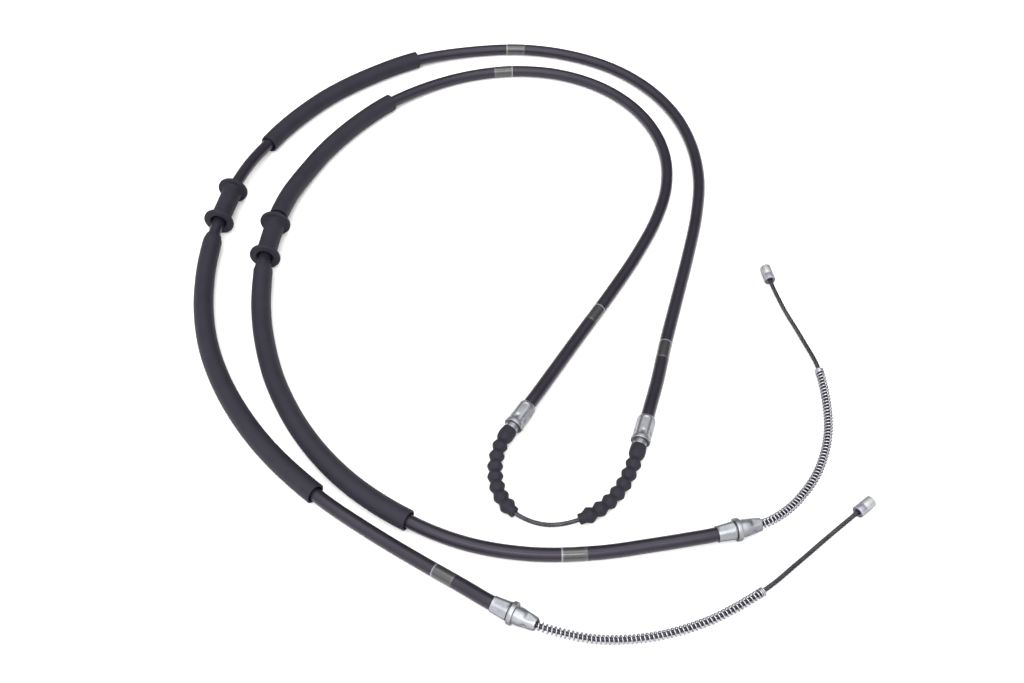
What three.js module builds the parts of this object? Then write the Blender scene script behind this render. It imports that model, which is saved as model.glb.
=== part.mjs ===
// Parking brake cable, laid out flat: two sheathed cables on one continuous inner rope.
// Millimetres, +Z up. The part rests on z = 0 with the origin under the middle of its box.
// The rope crosses between the two cables in a loop at the front, towards -Y. Right and left
// are told by the boots at that loop.
import * as THREE from 'three';

// Play between pieces that lie in one another, and between faces that meet
const fit = 0.3;

// Rope and casing, from the inside out
const ropeDiameter = 3;
const linerWall = 0.35;
const armourWall = 0.85;
const sheathWall = 0.9;

// Loose sleeves over the casing
const sleevePlay = 1;
const sleeveWall = 1.5;
const frontSleeveLength = 161.4;
const rearSleeveLength = 256;
const sleeveShoulderLength = 5.5;
const sleeveShoulderDrop = 1.3;

// Guide bush, a spool with a flange at each end
const bushLength = 37.5;
const bushWall = 2.2;
const bushFlangeRadius = 11.3;
const bushFlangeThickness = 2.7;
const bushFlangeRounding = 0.9;
const bushFilletLength = 1.4;
const bushMouthFlare = 1.3;
const bushMouthDepth = 4;

// Front ferrule, from the boot's spigot to the casing
const spigotWall = 1.75;
const spigotLength = 6;
const neckWall = 2.65;
const neckLength = 3.3;
const frontRimStep = 0.7;
const frontRimLength = 2.4;
const frontBodyWall = 1.85;
const frontBodyLength = 15.2;
const frontShoulderLength = 2;
const frontShoulderWall = 1.5;
const frontSocketDepth = 14;

// Front boot, a bellows that swells to an egg-shaped bulb at the ferrule
const bootStart = 21;
const bootWall = 1.1;
const bootRootPlay = 0.65;
const bootFoldDepth = 1.8;
const bootFoldCount = 7;
const bootFoldCrest = 0.2;
const bootCollarWall = 1.65;
const bootCollarLength = 3;
const bootBulbLength = 10.4;
const bootBulbSwell = 0.2;
const bootBulbLine = [[0.2, 0.6], [0.45, 1], [0.7, 0.98], [1, 0.8]];

// Rear ferrule, from the casing to the spring
const shankWall = 1;
const shankFlare = 0.95;
const shankLength = 11.8;
const collarStep = 1.55;
const collarLength = 3.1;
const collarRounding = 0.4;
const noseWall = 1.75;
const noseLength = 13.9;
const noseStraightShare = 0.25;
const noseEndWall = 0.5;
const noseChamfer = 0.5;
const rearSocketDepth = 19;
const springSeatDepth = 5;

// Crimped stretches are pressed to a hexagon, whose corners keep this much of the round
const crimpCorner = 1.08;
const crimpSides = 6;
const crimpMargin = 0.8;

// Return spring
const springPlay = 0.7;
const springWire = 0.9;
const springPitch = 2.6;
const springEndCoils = 3;
const springEndGap = 0.2;

// End nipple
const nippleWall = 2.05;
const nippleLength = 13.2;
const nippleChamfer = 0.4;
const nippleHoleDepth = 11;

// Facets
const tubeSides = 6;
const casingSides = 8;
const fittingSides = 12;
const bushSides = 16;
const springStepsPerTurn = 6;
const wireSides = 4;
const samplesPerSpan = 24;
const turnPerStation = THREE.MathUtils.degToRad(15);
const longestStep = 90;

// A polygon with a circle's area stands in for it, so its corners reach a little further
function cornerRadius(radius, sides) {
  return radius * Math.sqrt((2 * Math.PI) / (sides * Math.sin((2 * Math.PI) / sides)));
}

// Radii that follow from the sizes above
const ropeRadius = ropeDiameter / 2;
const ropeReach = cornerRadius(ropeRadius, tubeSides);
const ropeHoleRadius = ropeReach + fit;
const linerBore = ropeRadius + fit;
const linerRadius = linerBore + linerWall;
const armourBore = linerRadius + fit;
const armourRadius = armourBore + armourWall;
const sheathBore = armourRadius + fit;
const sheathRadius = sheathBore + sheathWall;
const socketRadius = cornerRadius(armourRadius, tubeSides) + fit;
const sleeveBore = sheathRadius + sleevePlay;
const sleeveRadius = sleeveBore + sleeveWall;
const sleeveSag = sleevePlay - fit;
const bushBore = cornerRadius(sheathRadius, casingSides) + fit;
const spigotRadius = ropeHoleRadius + spigotWall;
const bootMouthBore = cornerRadius(spigotRadius, fittingSides) + fit;
const springMeanRadius = ropeRadius + springPlay + springWire / 2;
const springReach = cornerRadius(springMeanRadius, springStepsPerTurn) + springWire / 2;
const frontFerruleLength = frontRimLength + frontBodyLength + frontShoulderLength;
const rearFerruleLength = shankLength + collarLength + noseLength;

// Route of the rope's centre line on each side, from the middle of the front loop to the
// nipple. The points are chosen by hand, and their heights let every piece lie on z = 0.
const rightRoute = [
  [23, -202, 3.6], [35, -201.5, 4.2], [46.5, -198, 5.3], [58.5, -190.5, 5.5],
  [68.5, -180, 5.6], [76.5, -166, 5.9], [82, -152, 6.5], [85.5, -141.5, 6.7],
  [92, -119, 6.8], [100, -91.5, 5.5], [109, -55.5, 4.6], [121, -12, 4.6],
  [133, 31.5, 4.6], [143, 73, 4.6], [148.5, 112.5, 4.6], [146.5, 152.5, 4.6],
  [136, 191, 4.6], [115.5, 225.5, 4.6], [86.5, 252.5, 4.6], [50.5, 270, 4.6],
  [11.5, 278, 4.6], [-30.5, 275.5, 4.6], [-79, 261, 6.5], [-117, 239, 6.3],
  [-151.5, 210.5, 6.3], [-179.5, 175.5, 6.6], [-195, 148, 7.9], [-205.5, 121.5, 10.3],
  [-213, 94, 11.3], [-219, 57, 11.3], [-221, 36, 10.4], [-221.5, 8, 8.3],
  [-217.5, -26.5, 6.7], [-207, -65, 6.3], [-187.5, -105.5, 6.3], [-158.5, -146, 6.3],
  [-120, -183.5, 6.5], [-86.5, -207.5, 4.8], [-53, -229.5, 4.8], [-28, -246, 6.5],
  [-9.5, -258.5, 7.9], [17.5, -272.5, 7.6], [34, -277, 5.8], [53.5, -279.5, 4],
  [83.5, -277.5, 3.4], [117, -267.5, 3.4], [153, -247, 3.4], [174.7, -229.2, 2.7],
  [197.7, -209.7, 2.8], [219, -192.5, 4.1], [228, -185, 4.1],
];
const leftRoute = [
  [23, -202, 3.6], [11.5, -199, 4.2], [1.5, -192.5, 5.3], [-6, -180.5, 5.5],
  [-9, -166, 5.6], [-8, -152, 5.9], [-3.5, -139, 6.5], [2, -128.5, 6.7],
  [14.5, -109, 6.8], [28.5, -84.5, 5.5], [48.5, -50, 4.6], [71.5, -11.5, 4.6],
  [93.5, 28, 4.6], [111.5, 67, 4.6], [122, 102.5, 4.6], [124, 139.5, 4.6],
  [116, 174, 4.6], [98, 205.5, 4.6], [71.5, 229.5, 4.6], [37, 244.5, 4.6],
  [-3, 247.5, 4.6], [-48, 236.5, 4.6], [-95, 206.5, 6.5], [-123.5, 177, 6.3],
  [-148, 141, 6.8], [-162.5, 109.5, 8.6], [-170.5, 86, 10.2], [-176, 57.7, 11.3],
  [-179.5, 20.3, 11.3], [-179, 4, 10.5], [-177, -23, 8.5], [-170.5, -55.5, 6.8],
  [-157, -95, 6.3], [-133.5, -137, 6.3], [-102, -173, 6.3], [-62, -201.5, 6.5],
  [-25.5, -216.5, 4.8], [14, -223.5, 4.6], [54, -222.5, 4.6], [88.5, -217.5, 5.3],
  [110, -214.5, 6.9], [127.5, -211.5, 7.9], [157, -203.5, 7.6], [169, -196.5, 6.1],
  [182, -184.5, 4.4], [198.5, -162, 3.4], [210.5, -129, 3.4], [212.5, -80, 3.4],
  [205.2, -50, 2.7], [196.2, -21.5, 2.9], [190, 4, 4.1], [188, 17, 4.1],
];

// Where the fittings sit: route points for those that hold the casing, the gaps between the
// bush and the two sleeves, and how far the spring reaches beyond the rear ferrule
const right = {
  name: 'right', route: rightRoute, mouthPoint: 7, bushPoint: 28, shankPoint: 40,
  frontSleeveGap: 60.2, rearSleeveGap: 14, springLength: 144,
};
const left = {
  name: 'left', route: leftRoute, mouthPoint: 7, bushPoint: 27, shankPoint: 41,
  frontSleeveGap: 7, rearSleeveGap: 7.5, springLength: 147.5,
};

const materials = {
  sheath: { color: 0x35333a, roughness: 0.45, metalness: 0 },
  armour: { color: 0x8d8f92, roughness: 0.4, metalness: 1 },
  liner: { color: 0xe8e6df, roughness: 0.5, metalness: 0 },
  rubber: { color: 0x3b3a3f, roughness: 0.75, metalness: 0 },
  sleeve: { color: 0x38373d, roughness: 0.65, metalness: 0 },
  zinc: { color: 0xb9bfc2, roughness: 0.35, metalness: 1 },
  spring: { color: 0xa9aab2, roughness: 0.3, metalness: 1 },
  rope: { color: 0x6d6f74, roughness: 0.4, metalness: 1 },
};
const up = new THREE.Vector3(0, 0, 1);

// The two routes are one smooth curve. Each side gets its own half of the samples.
function sampleRoutes() {
  const toPoint = (point) => new THREE.Vector3(...point);
  const whole = [...right.route.slice(1).reverse(), ...left.route].map(toPoint);
  const curve = new THREE.CatmullRomCurve3(whole);
  const spans = whole.length - 1;
  const samples = [];
  for (let i = 0; i <= spans * samplesPerSpan; i += 1) {
    samples.push(curve.getPoint(i / (spans * samplesPerSpan)));
  }
  const middle = (right.route.length - 1) * samplesPerSpan;
  right.samples = samples.slice(0, middle + 1).reverse();
  left.samples = samples.slice(middle);
}

function measureDistances(side) {
  side.distances = [0];
  for (let i = 1; i < side.samples.length; i += 1) {
    const step = side.samples[i].distanceTo(side.samples[i - 1]);
    side.distances.push(side.distances[i - 1] + step);
  }
  side.length = side.distances.at(-1);
  side.distanceOf = (point) => side.distances[point * samplesPerSpan];
}

function placeFittings(side) {
  side.mouthAt = side.distanceOf(side.mouthPoint);
  side.bootEnd = side.mouthAt - neckLength - fit;
  side.casingAt = side.mouthAt + frontFerruleLength;
  side.bushAt = side.distanceOf(side.bushPoint);
  side.frontSleeveAt = side.bushAt - side.frontSleeveGap - frontSleeveLength;
  side.rearSleeveAt = side.bushAt + bushLength + side.rearSleeveGap;
  side.shankAt = side.distanceOf(side.shankPoint);
  side.noseEnd = side.shankAt + rearFerruleLength;
  side.springAt = side.noseEnd - springSeatDepth + fit + springWire / 2;
  side.springEnd = side.noseEnd + side.springLength;
  side.nippleAt = side.length - nippleLength;
  side.rigid = [
    [side.mouthAt - neckLength - spigotLength, side.casingAt],
    [side.bushAt, side.bushAt + bushLength],
    [side.shankAt, side.noseEnd],
    [side.nippleAt, side.length],
  ];
}

// How much of a step the route has used up by each sample: its turning and its length count
function measureEffort(side) {
  const { samples } = side;
  const effort = [0];
  for (let i = 1; i < samples.length; i += 1) {
    const last = Math.max(1, i - 1);
    const before = samples[last].clone().sub(samples[last - 1]);
    const after = samples[i].clone().sub(samples[i - 1]);
    const turned = before.angleTo(after) / turnPerStation;
    effort.push(effort[i - 1] + turned + after.length() / longestStep);
  }
  return effort;
}

function lookUp(value, from, to) {
  let high = from.findIndex((item) => item >= value);
  if (high < 0) high = from.length - 1;
  const low = Math.max(0, high - 1);
  const span = from[high] - from[low];
  const share = span > 0 ? Math.min(1, (value - from[low]) / span) : 0;
  return { low, high, share, value: to ? THREE.MathUtils.lerp(to[low], to[high], share) : 0 };
}

// Stations are the places where every tube on the route has a ring, so that tubes in one
// another keep their play. None lies inside a rigid fitting.
function placeStations(side) {
  const effort = measureEffort(side);
  const stops = [0, ...side.rigid.flat()];
  const distances = [];
  for (let i = 0; i < stops.length; i += 1) {
    distances.push(stops[i]);
    const straight = side.rigid.some(([from]) => from === stops[i]);
    if (!straight && i + 1 < stops.length) {
      const from = lookUp(stops[i], side.distances, effort).value;
      const to = lookUp(stops[i + 1], side.distances, effort).value;
      const steps = Math.max(1, Math.ceil(to - from));
      for (let k = 1; k < steps; k += 1) {
        const reached = from + ((to - from) * k) / steps;
        distances.push(lookUp(reached, effort, side.distances).value);
      }
    }
  }
  return distances.map((distance) => {
    const { low, high, share } = lookUp(distance, side.distances);
    const position = side.samples[low].clone().lerp(side.samples[high], share);
    const startsFitting = side.rigid.some(([from]) => from === distance);
    const endsFitting = side.rigid.some(([, to]) => to === distance);
    return { distance, position, startsFitting, endsFitting };
  });
}

// The level frame of each station: along the route, to its side and upwards. At a rigid
// fitting's two ends it is square to the fitting.
function addFrames(stations) {
  stations.forEach((station, i) => {
    const before = stations[Math.max(0, i - 1)].position;
    const after = stations[Math.min(stations.length - 1, i + 1)].position;
    const incoming = station.position.clone().sub(before).normalize();
    const outgoing = after.clone().sub(station.position).normalize();
    station.along = new THREE.Vector3();
    if (!station.startsFitting) station.along.add(incoming);
    if (!station.endsFitting) station.along.add(outgoing);
    station.along.normalize();
    station.side = up.clone().cross(station.along).normalize();
    station.above = station.along.clone().cross(station.side);
  });
  return stations;
}

function stationAt(stations, distance) {
  const { low, high, share } = lookUp(distance, stations.map((station) => station.distance));
  const along = stations[low].along.clone().lerp(stations[high].along, share).normalize();
  const side = up.clone().cross(along).normalize();
  const above = along.clone().cross(side);
  const position = stations[low].position.clone().lerp(stations[high].position, share);
  return { distance, position, along, side, above };
}

function cutStations(stations, from, to) {
  const inner = stations.filter((s) => s.distance > from + fit && s.distance < to - fit);
  return [stationAt(stations, from), ...inner, stationAt(stations, to)];
}

// A path whose rings stand exactly on the stations it is given
class StationPath extends THREE.Curve {
  constructor(stations) {
    super();
    this.stations = stations;
  }

  getSpacedPoints() {
    return this.stations.map((station) => station.position.clone());
  }

  computeFrenetFrames() {
    return {
      tangents: this.stations.map((station) => station.along),
      normals: this.stations.map((station) => station.side),
      binormals: this.stations.map((station) => station.above),
    };
  }
}

// A polygon with a flat at the bottom and one at the top
function polygon(radius, sides) {
  const corner = cornerRadius(radius, sides);
  const points = [];
  for (let i = 0; i < sides; i += 1) {
    const angle = (Math.PI * (2 * i + 1)) / sides - Math.PI / 2;
    points.push(new THREE.Vector2(corner * Math.cos(angle), corner * Math.sin(angle)));
  }
  return points;
}

function sweep(stations, radius, sides, bore = 0, boreSides = tubeSides) {
  const section = new THREE.Shape(polygon(radius, sides));
  if (bore > 0) section.holes.push(new THREE.Path(polygon(bore, boreSides).reverse()));
  const extrudePath = new StationPath(stations);
  return new THREE.ExtrudeGeometry(section, { steps: stations.length - 1, extrudePath });
}

// Turns a closed profile of [distance along the axis, radius] about the Y axis
function turn(profile, sides) {
  const points = profile.map(([y, radius]) => new THREE.Vector2(radius, y));
  return new THREE.LatheGeometry([...points, points[0]], sides);
}

// Profile of a body of revolution from its outer line and its bore line, both along the axis
function closeProfile(outer, bore) {
  return [...outer, ...bore.slice().reverse()];
}

function roundProfile(profile, sides) {
  return profile.map(([y, radius]) => [y, cornerRadius(radius, sides)]);
}

// Presses the rings between two places along the axis to a hexagon, whose flats lie as far
// from the axis as apothemAt says
function crimp(geometry, from, to, apothemAt) {
  const place = geometry.attributes.position;
  for (let i = 0; i < place.count; i += 1) {
    const y = place.getY(i);
    const radius = Math.hypot(place.getX(i), place.getZ(i));
    const apothem = apothemAt(y);
    if (y > from && y < to && radius > apothem - fit) {
      const angle = Math.atan2(place.getX(i), place.getZ(i));
      const flat = (2 * Math.PI) / crimpSides;
      const offCentre = angle - flat * Math.round(angle / flat);
      const pressed = Math.min(apothem * crimpCorner, apothem / Math.cos(offCentre));
      place.setX(i, pressed * Math.sin(angle));
      place.setZ(i, pressed * Math.cos(angle));
    }
  }
  return geometry;
}

// Lays a turned shape along the route instead of along its straight axis
function bend(geometry, stations, at) {
  const place = geometry.attributes.position;
  for (let i = 0; i < place.count; i += 1) {
    const ring = stationAt(stations, at + place.getY(i));
    const point = ring.position
      .addScaledVector(ring.side, place.getX(i))
      .addScaledVector(ring.above, -place.getZ(i));
    place.setXYZ(i, point.x, point.y, point.z);
  }
  return geometry;
}

function makeMesh(name, geometry, finish) {
  const mesh = new THREE.Mesh(geometry, new THREE.MeshStandardMaterial(materials[finish]));
  mesh.name = name;
  return mesh;
}

// Stands a turned fitting on the straight stretch of route between two distances
function mount(mesh, stations, from, to) {
  const start = stationAt(stations, from).position;
  const along = stationAt(stations, to).position.sub(start).normalize();
  const side = up.clone().cross(along).normalize();
  const below = side.clone().cross(along);
  mesh.quaternion.setFromRotationMatrix(new THREE.Matrix4().makeBasis(side, along, below));
  mesh.position.copy(start);
  return mesh;
}

function makeCasing(side, stations) {
  const from = side.casingAt + fit;
  const to = side.shankAt - fit;
  const inside = cutStations(
    stations,
    side.casingAt - frontSocketDepth + fit,
    side.shankAt + rearSocketDepth - fit,
  );
  const sheath = sweep(cutStations(stations, from, to), sheathRadius, casingSides, sheathBore);
  const armour = sweep(inside, armourRadius, tubeSides, armourBore);
  const liner = sweep(inside, linerRadius, tubeSides, linerBore);
  return [
    makeMesh(`${side.name}_casing_sheath`, sheath, 'sheath'),
    makeMesh(`${side.name}_casing_armour`, armour, 'armour'),
    makeMesh(`${side.name}_casing_liner`, liner, 'liner'),
  ];
}

// A sleeve lies on z = 0 where it can, and hangs on the casing where the casing is higher
function dropSleeve(stations) {
  return stations.map((station) => {
    const position = station.position.clone();
    const casing = position.z;
    position.z = Math.max(sleeveRadius, casing - sleeveSag);
    position.z = Math.min(position.z, casing + sleeveSag);
    return { ...station, position };
  });
}

// With a shoulder, the sleeve is drawn in at its start and sits close round the casing there
function makeSleeve(side, stations, name, from, length, shoulder) {
  const path = dropSleeve(cutStations(stations, from + shoulder, from + length));
  const rings = path.map((station) => station.distance - from);
  const outer = rings.map((y) => [y, sleeveRadius]);
  const bore = rings.map((y) => [y, sleeveBore]);
  if (shoulder > 0) {
    path.unshift(stationAt(stations, from));
    outer.unshift([0, sleeveRadius - sleeveShoulderDrop]);
    bore.unshift([0, sheathRadius + fit]);
  }
  const profile = closeProfile(outer, bore);
  const geometry = turn(roundProfile(profile, casingSides), casingSides);
  geometry.rotateY(Math.PI / casingSides);
  return makeMesh(`${side.name}_${name}`, bend(geometry, path, from), 'sleeve');
}

function makeBush(side, stations) {
  const bodyRadius = bushBore + bushWall;
  const soft = bushFlangeRounding;
  const half = [
    [0, bushFlangeRadius - soft],
    [soft, bushFlangeRadius],
    [bushFlangeThickness - soft, bushFlangeRadius],
    [bushFlangeThickness, bushFlangeRadius - soft],
    [bushFlangeThickness, bodyRadius + soft],
    [bushFlangeThickness + bushFilletLength, bodyRadius],
  ];
  const other = half.map(([y, radius]) => [bushLength - y, radius]).reverse();
  const bore = [
    [0, bushBore + bushMouthFlare],
    [bushMouthDepth, bushBore],
    [bushLength - bushMouthDepth, bushBore],
    [bushLength, bushBore + bushMouthFlare],
  ];
  const geometry = turn(closeProfile([...half, ...other], bore), bushSides);
  const mesh = makeMesh(`${side.name}_guide_bush`, geometry, 'rubber');
  return mount(mesh, stations, side.bushAt, side.bushAt + bushLength);
}

function makeFrontFerrule(side, stations) {
  const apothem = socketRadius + frontBodyWall;
  const corner = apothem * crimpCorner;
  const neckRadius = ropeHoleRadius + neckWall;
  const rimRadius = apothem + frontRimStep;
  const bodyEnd = frontRimLength + frontBodyLength;
  const spigotEnd = neckLength + spigotLength;
  const outer = [
    [-spigotEnd, spigotRadius],
    [-neckLength, spigotRadius],
    [-neckLength, neckRadius],
    [0, neckRadius],
    [0, rimRadius],
    [frontRimLength, rimRadius],
    [frontRimLength + crimpMargin, corner],
    [bodyEnd, corner],
    [frontFerruleLength, socketRadius + frontShoulderWall],
  ];
  const socketEnd = frontFerruleLength - frontSocketDepth;
  const bore = [
    [-spigotEnd, ropeHoleRadius],
    [socketEnd, ropeHoleRadius],
    [socketEnd, socketRadius],
    [frontFerruleLength, socketRadius],
  ];
  const profile = roundProfile(closeProfile(outer, bore), fittingSides);
  const geometry = turn(profile, fittingSides);
  crimp(geometry, frontRimLength + fit, bodyEnd + fit, () => apothem);
  const mesh = makeMesh(`${side.name}_front_ferrule`, geometry, 'zinc');
  return mount(mesh, stations, side.mouthAt, side.casingAt);
}

// The folds share what the collar and the bulb leave of the boot's length
function makeBoot(side, stations) {
  const length = side.bootEnd - bootStart;
  const pitch = (length - bootCollarLength - bootBulbLength) / bootFoldCount;
  const rootBore = ropeReach + bootRootPlay;
  const root = rootBore + bootWall;
  const bulb = bootMouthBore + bootWall + bootBulbSwell;
  const bulbAt = length - bootBulbLength;
  const collar = ropeHoleRadius + bootCollarWall;
  const outer = [[0, collar], [bootCollarLength, collar]];
  const bore = [[0, ropeHoleRadius], [bootCollarLength, ropeHoleRadius]];
  for (let i = 0; i < bootFoldCount; i += 1) {
    const start = bootCollarLength + i * pitch;
    const crest = start + pitch / 2;
    outer.push([start, root]);
    outer.push([crest - (pitch * bootFoldCrest) / 2, root + bootFoldDepth]);
    outer.push([crest + (pitch * bootFoldCrest) / 2, root + bootFoldDepth]);
    bore.push([start, rootBore], [crest, rootBore + bootFoldDepth]);
  }
  outer.push([bulbAt, root]);
  bootBulbLine.forEach(([along, outwards]) => {
    outer.push([bulbAt + bootBulbLength * along, root + (bulb - root) * outwards]);
  });
  const mouthDepth = spigotLength + 2 * fit;
  bore.push([bulbAt, rootBore], [length - mouthDepth, bootMouthBore], [length, bootMouthBore]);
  const profile = roundProfile(closeProfile(outer, bore), fittingSides);
  const geometry = bend(turn(profile, fittingSides), stations, bootStart);
  return makeMesh(`${side.name}_front_boot`, geometry, 'rubber');
}

function makeRearFerrule(side, stations) {
  const apothemAt = (y) => socketRadius + shankWall + (shankFlare * y) / shankLength;
  const collar = apothemAt(shankLength) + collarStep;
  const noseRadius = socketRadius + noseWall;
  const seatRadius = springReach + fit;
  const noseEndRadius = seatRadius + noseEndWall;
  const collarEnd = shankLength + collarLength;
  const end = rearFerruleLength;
  const outer = [
    [0, apothemAt(0) * crimpCorner],
    [shankLength - crimpMargin, apothemAt(shankLength - crimpMargin) * crimpCorner],
    [shankLength, apothemAt(shankLength)],
    [shankLength, collar - collarRounding],
    [shankLength + collarRounding, collar],
    [collarEnd - collarRounding, collar],
    [collarEnd, collar - collarRounding],
    [collarEnd, noseRadius],
    [collarEnd + noseLength * noseStraightShare, noseRadius],
    [end - noseChamfer, noseEndRadius + noseChamfer / 2],
    [end, noseEndRadius],
  ];
  const bore = [
    [0, socketRadius],
    [rearSocketDepth, socketRadius],
    [rearSocketDepth, ropeHoleRadius],
    [end - springSeatDepth, ropeHoleRadius],
    [end - springSeatDepth, seatRadius],
    [end, seatRadius],
  ];
  const profile = roundProfile(closeProfile(outer, bore), fittingSides);
  const geometry = turn(profile, fittingSides);
  crimp(geometry, -fit, shankLength - fit, apothemAt);
  const mesh = makeMesh(`${side.name}_rear_ferrule`, geometry, 'zinc');
  return mount(mesh, stations, side.shankAt, side.noseEnd);
}

// Distances of the spring's steps along the route, with closed coils at the nipple end
function springSteps(side) {
  const closedPitch = springWire + springEndGap;
  const openEnd = side.springEnd - springEndCoils * closedPitch;
  const openTurns = Math.round((openEnd - side.springAt) / springPitch);
  const openStep = (openEnd - side.springAt) / (openTurns * springStepsPerTurn);
  const steps = [side.springAt];
  for (let i = 0; i < openTurns * springStepsPerTurn; i += 1) steps.push(steps.at(-1) + openStep);
  for (let i = 0; i < springEndCoils * springStepsPerTurn; i += 1) {
    steps.push(steps.at(-1) + closedPitch / springStepsPerTurn);
  }
  return steps;
}

function makeSpring(side, stations) {
  const radius = cornerRadius(springMeanRadius, springStepsPerTurn);
  const coil = springSteps(side).map((distance, i) => {
    const ring = stationAt(stations, distance);
    const angle = (2 * Math.PI * i) / springStepsPerTurn;
    const outwards = ring.side
      .clone()
      .multiplyScalar(Math.cos(angle))
      .addScaledVector(ring.above, Math.sin(angle));
    return { distance, outwards, position: ring.position.addScaledVector(outwards, radius) };
  });
  addFrames(coil);
  coil.forEach((step) => {
    step.side = step.outwards.addScaledVector(step.along, -step.outwards.dot(step.along)).normalize();
    step.above = step.along.clone().cross(step.side);
  });
  return makeMesh(`${side.name}_return_spring`, sweep(coil, springWire / 2, wireSides), 'spring');
}

function makeNipple(side, stations) {
  const radius = ropeHoleRadius + nippleWall;
  const profile = [
    [0, ropeHoleRadius],
    [0, radius - nippleChamfer],
    [nippleChamfer, radius],
    [nippleLength - nippleChamfer, radius],
    [nippleLength, radius - nippleChamfer],
    [nippleLength, 0],
    [nippleHoleDepth, 0],
    [nippleHoleDepth, ropeHoleRadius],
  ];
  const geometry = turn(profile, bushSides);
  const mesh = makeMesh(`${side.name}_end_nipple`, geometry, 'zinc');
  return mount(mesh, stations, side.nippleAt, side.length);
}

function makeSide(side) {
  const { stations } = side;
  const frontSleeve = makeSleeve(
    side, stations, 'front_sleeve', side.frontSleeveAt, frontSleeveLength, 0,
  );
  const rearSleeve = makeSleeve(
    side, stations, 'rear_sleeve', side.rearSleeveAt, rearSleeveLength, sleeveShoulderLength,
  );
  const group = new THREE.Group();
  group.add(
    ...makeCasing(side, stations),
    makeFrontFerrule(side, stations),
    makeBoot(side, stations),
    frontSleeve,
    makeBush(side, stations),
    rearSleeve,
    makeRearFerrule(side, stations),
    makeSpring(side, stations),
    makeNipple(side, stations),
  );
  return group;
}

// The rope ends in the two nipples' blind holes. Its right half is walked backwards.
function makeRope() {
  const [rightHalf, leftHalf] = [right, left].map((side) => {
    const end = side.nippleAt + nippleHoleDepth - fit;
    return cutStations(side.stations, 0, end);
  });
  const backwards = rightHalf.reverse().map((station) => ({
    ...station,
    along: station.along.clone().negate(),
    side: station.side.clone().negate(),
  }));
  const whole = [...backwards, ...leftHalf.slice(1)];
  return makeMesh('inner_rope', sweep(whole, ropeRadius, tubeSides), 'rope');
}

sampleRoutes();
[right, left].forEach((side) => {
  measureDistances(side);
  placeFittings(side);
  side.stations = addFrames(placeStations(side));
});

const cable = new THREE.Group();
cable.add(makeSide(right), makeSide(left), makeRope());

export default cable;
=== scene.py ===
import math

import bmesh
import bpy
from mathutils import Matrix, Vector


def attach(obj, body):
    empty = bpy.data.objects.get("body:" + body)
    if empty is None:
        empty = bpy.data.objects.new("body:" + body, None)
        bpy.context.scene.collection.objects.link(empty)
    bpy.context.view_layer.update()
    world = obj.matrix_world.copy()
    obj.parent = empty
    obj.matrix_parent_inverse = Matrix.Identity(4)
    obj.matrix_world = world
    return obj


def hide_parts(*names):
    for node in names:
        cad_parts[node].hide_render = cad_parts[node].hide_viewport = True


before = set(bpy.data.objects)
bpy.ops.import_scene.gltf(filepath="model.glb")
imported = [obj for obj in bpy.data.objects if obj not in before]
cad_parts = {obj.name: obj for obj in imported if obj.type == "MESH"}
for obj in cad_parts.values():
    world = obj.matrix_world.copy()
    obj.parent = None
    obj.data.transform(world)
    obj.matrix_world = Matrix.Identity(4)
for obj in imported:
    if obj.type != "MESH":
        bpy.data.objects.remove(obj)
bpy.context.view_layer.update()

# Parking brake cable lying in two loops. Pieces are shaped in millimetres along their own
# route and become metres when they are laid on it.
mm = 0.001
up = Vector((0, 0, 1))
uvPerMm = 0.01  # how much a piece's V grows with each millimetre along it
tubeWeld = 1e-6  # points of a tube that lie nearer than this become one, in metres
profileWeld = 1e-4  # the same for a turned profile, in millimetres

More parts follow.
